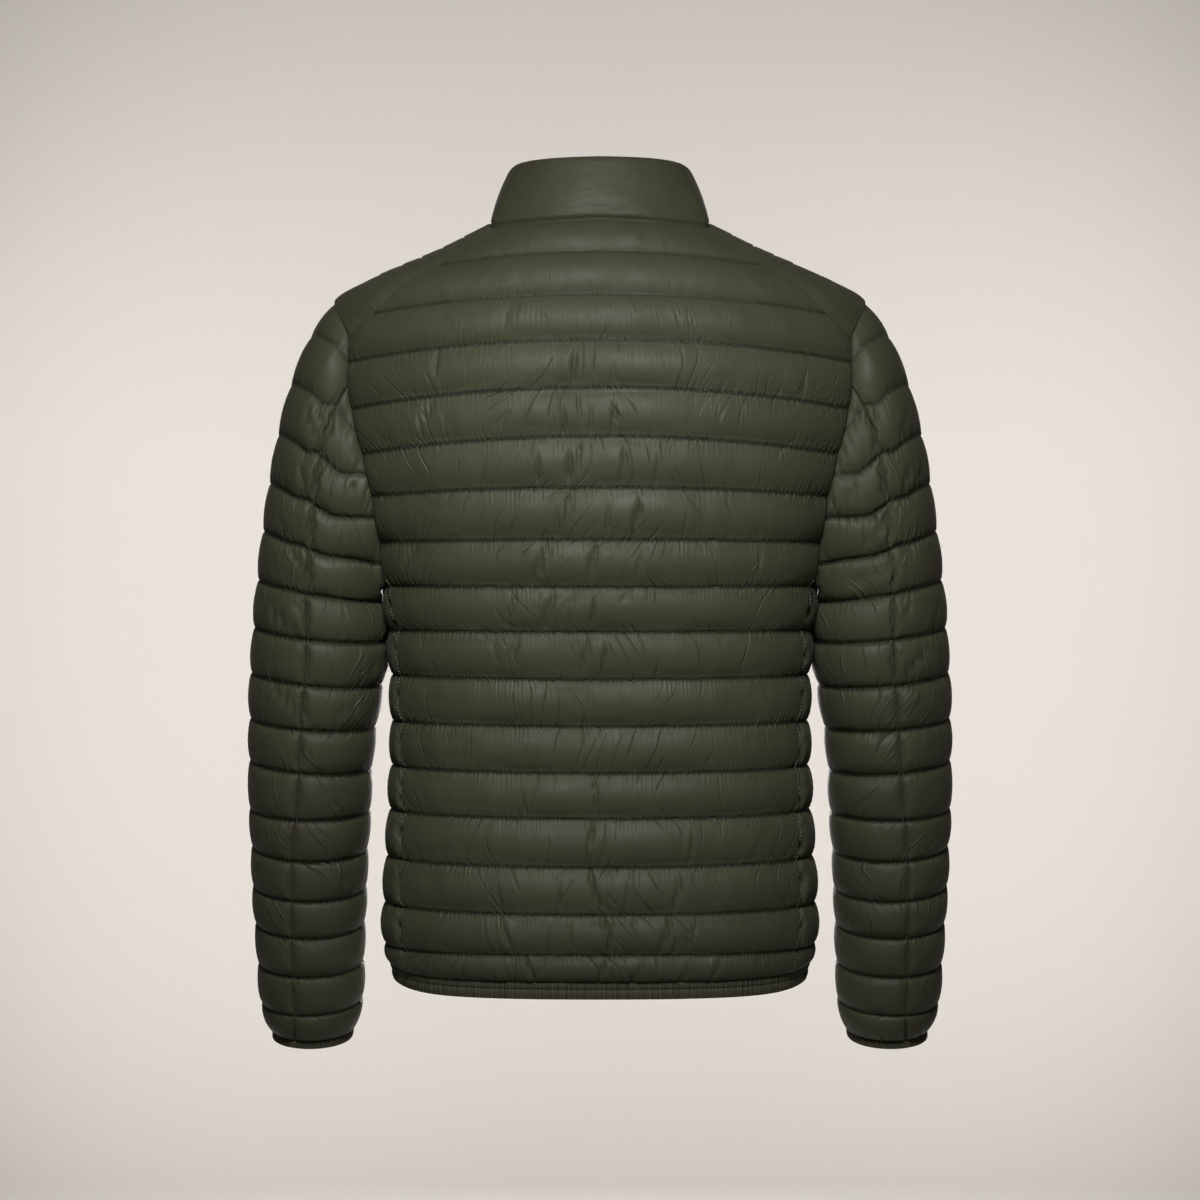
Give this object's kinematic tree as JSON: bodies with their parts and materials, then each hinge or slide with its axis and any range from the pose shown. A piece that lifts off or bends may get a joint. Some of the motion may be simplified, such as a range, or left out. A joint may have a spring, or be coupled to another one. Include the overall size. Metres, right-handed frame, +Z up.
{
  "type": "puffer jacket",
  "caption": "Light quilted puffer jacket with a stand collar, set-in sleeves and a front zip, filled out and hollow.",
  "frame": {"origin": "middle of the neck, level with the two points where neck and shoulders meet", "axes": "+Z up, the front faces -Y, +X is the wearer's left"},
  "size_m": [0.6416, 0.268, 0.8031],
  "materials": {
    "nylon": "soft sheen",
    "binding": "ribbed, matt",
    "zip_tape": "woven, matt",
    "zip_metal": "satin, dark"
  },
  "bodies": {
    "jacket": {"back": "nylon", "front_left": "nylon", "front_right": "nylon", "collar": "nylon", "sleeve_top_left": "nylon", "sleeve_top_right": "nylon", "sleeve_under_left": "nylon", "sleeve_under_right": "nylon", "hem_band": "binding", "cuff_band_left": "binding", "cuff_band_right": "binding", "zip_tape_left": "zip_tape", "zip_tape_right": "zip_tape", "zip_box": "zip_metal", "zip_slider": "zip_metal"},
    "zip_pull": {"zip_pull": "zip_metal"}
  },
  "joints": [
    {"name": "pull_swing", "type": "hinge", "parent": "jacket", "child": "zip_pull", "pos_m": [0, -0.07092, -0.02658], "axis": [-1, 0, 0], "range_deg": [0, 165]}
  ]
}
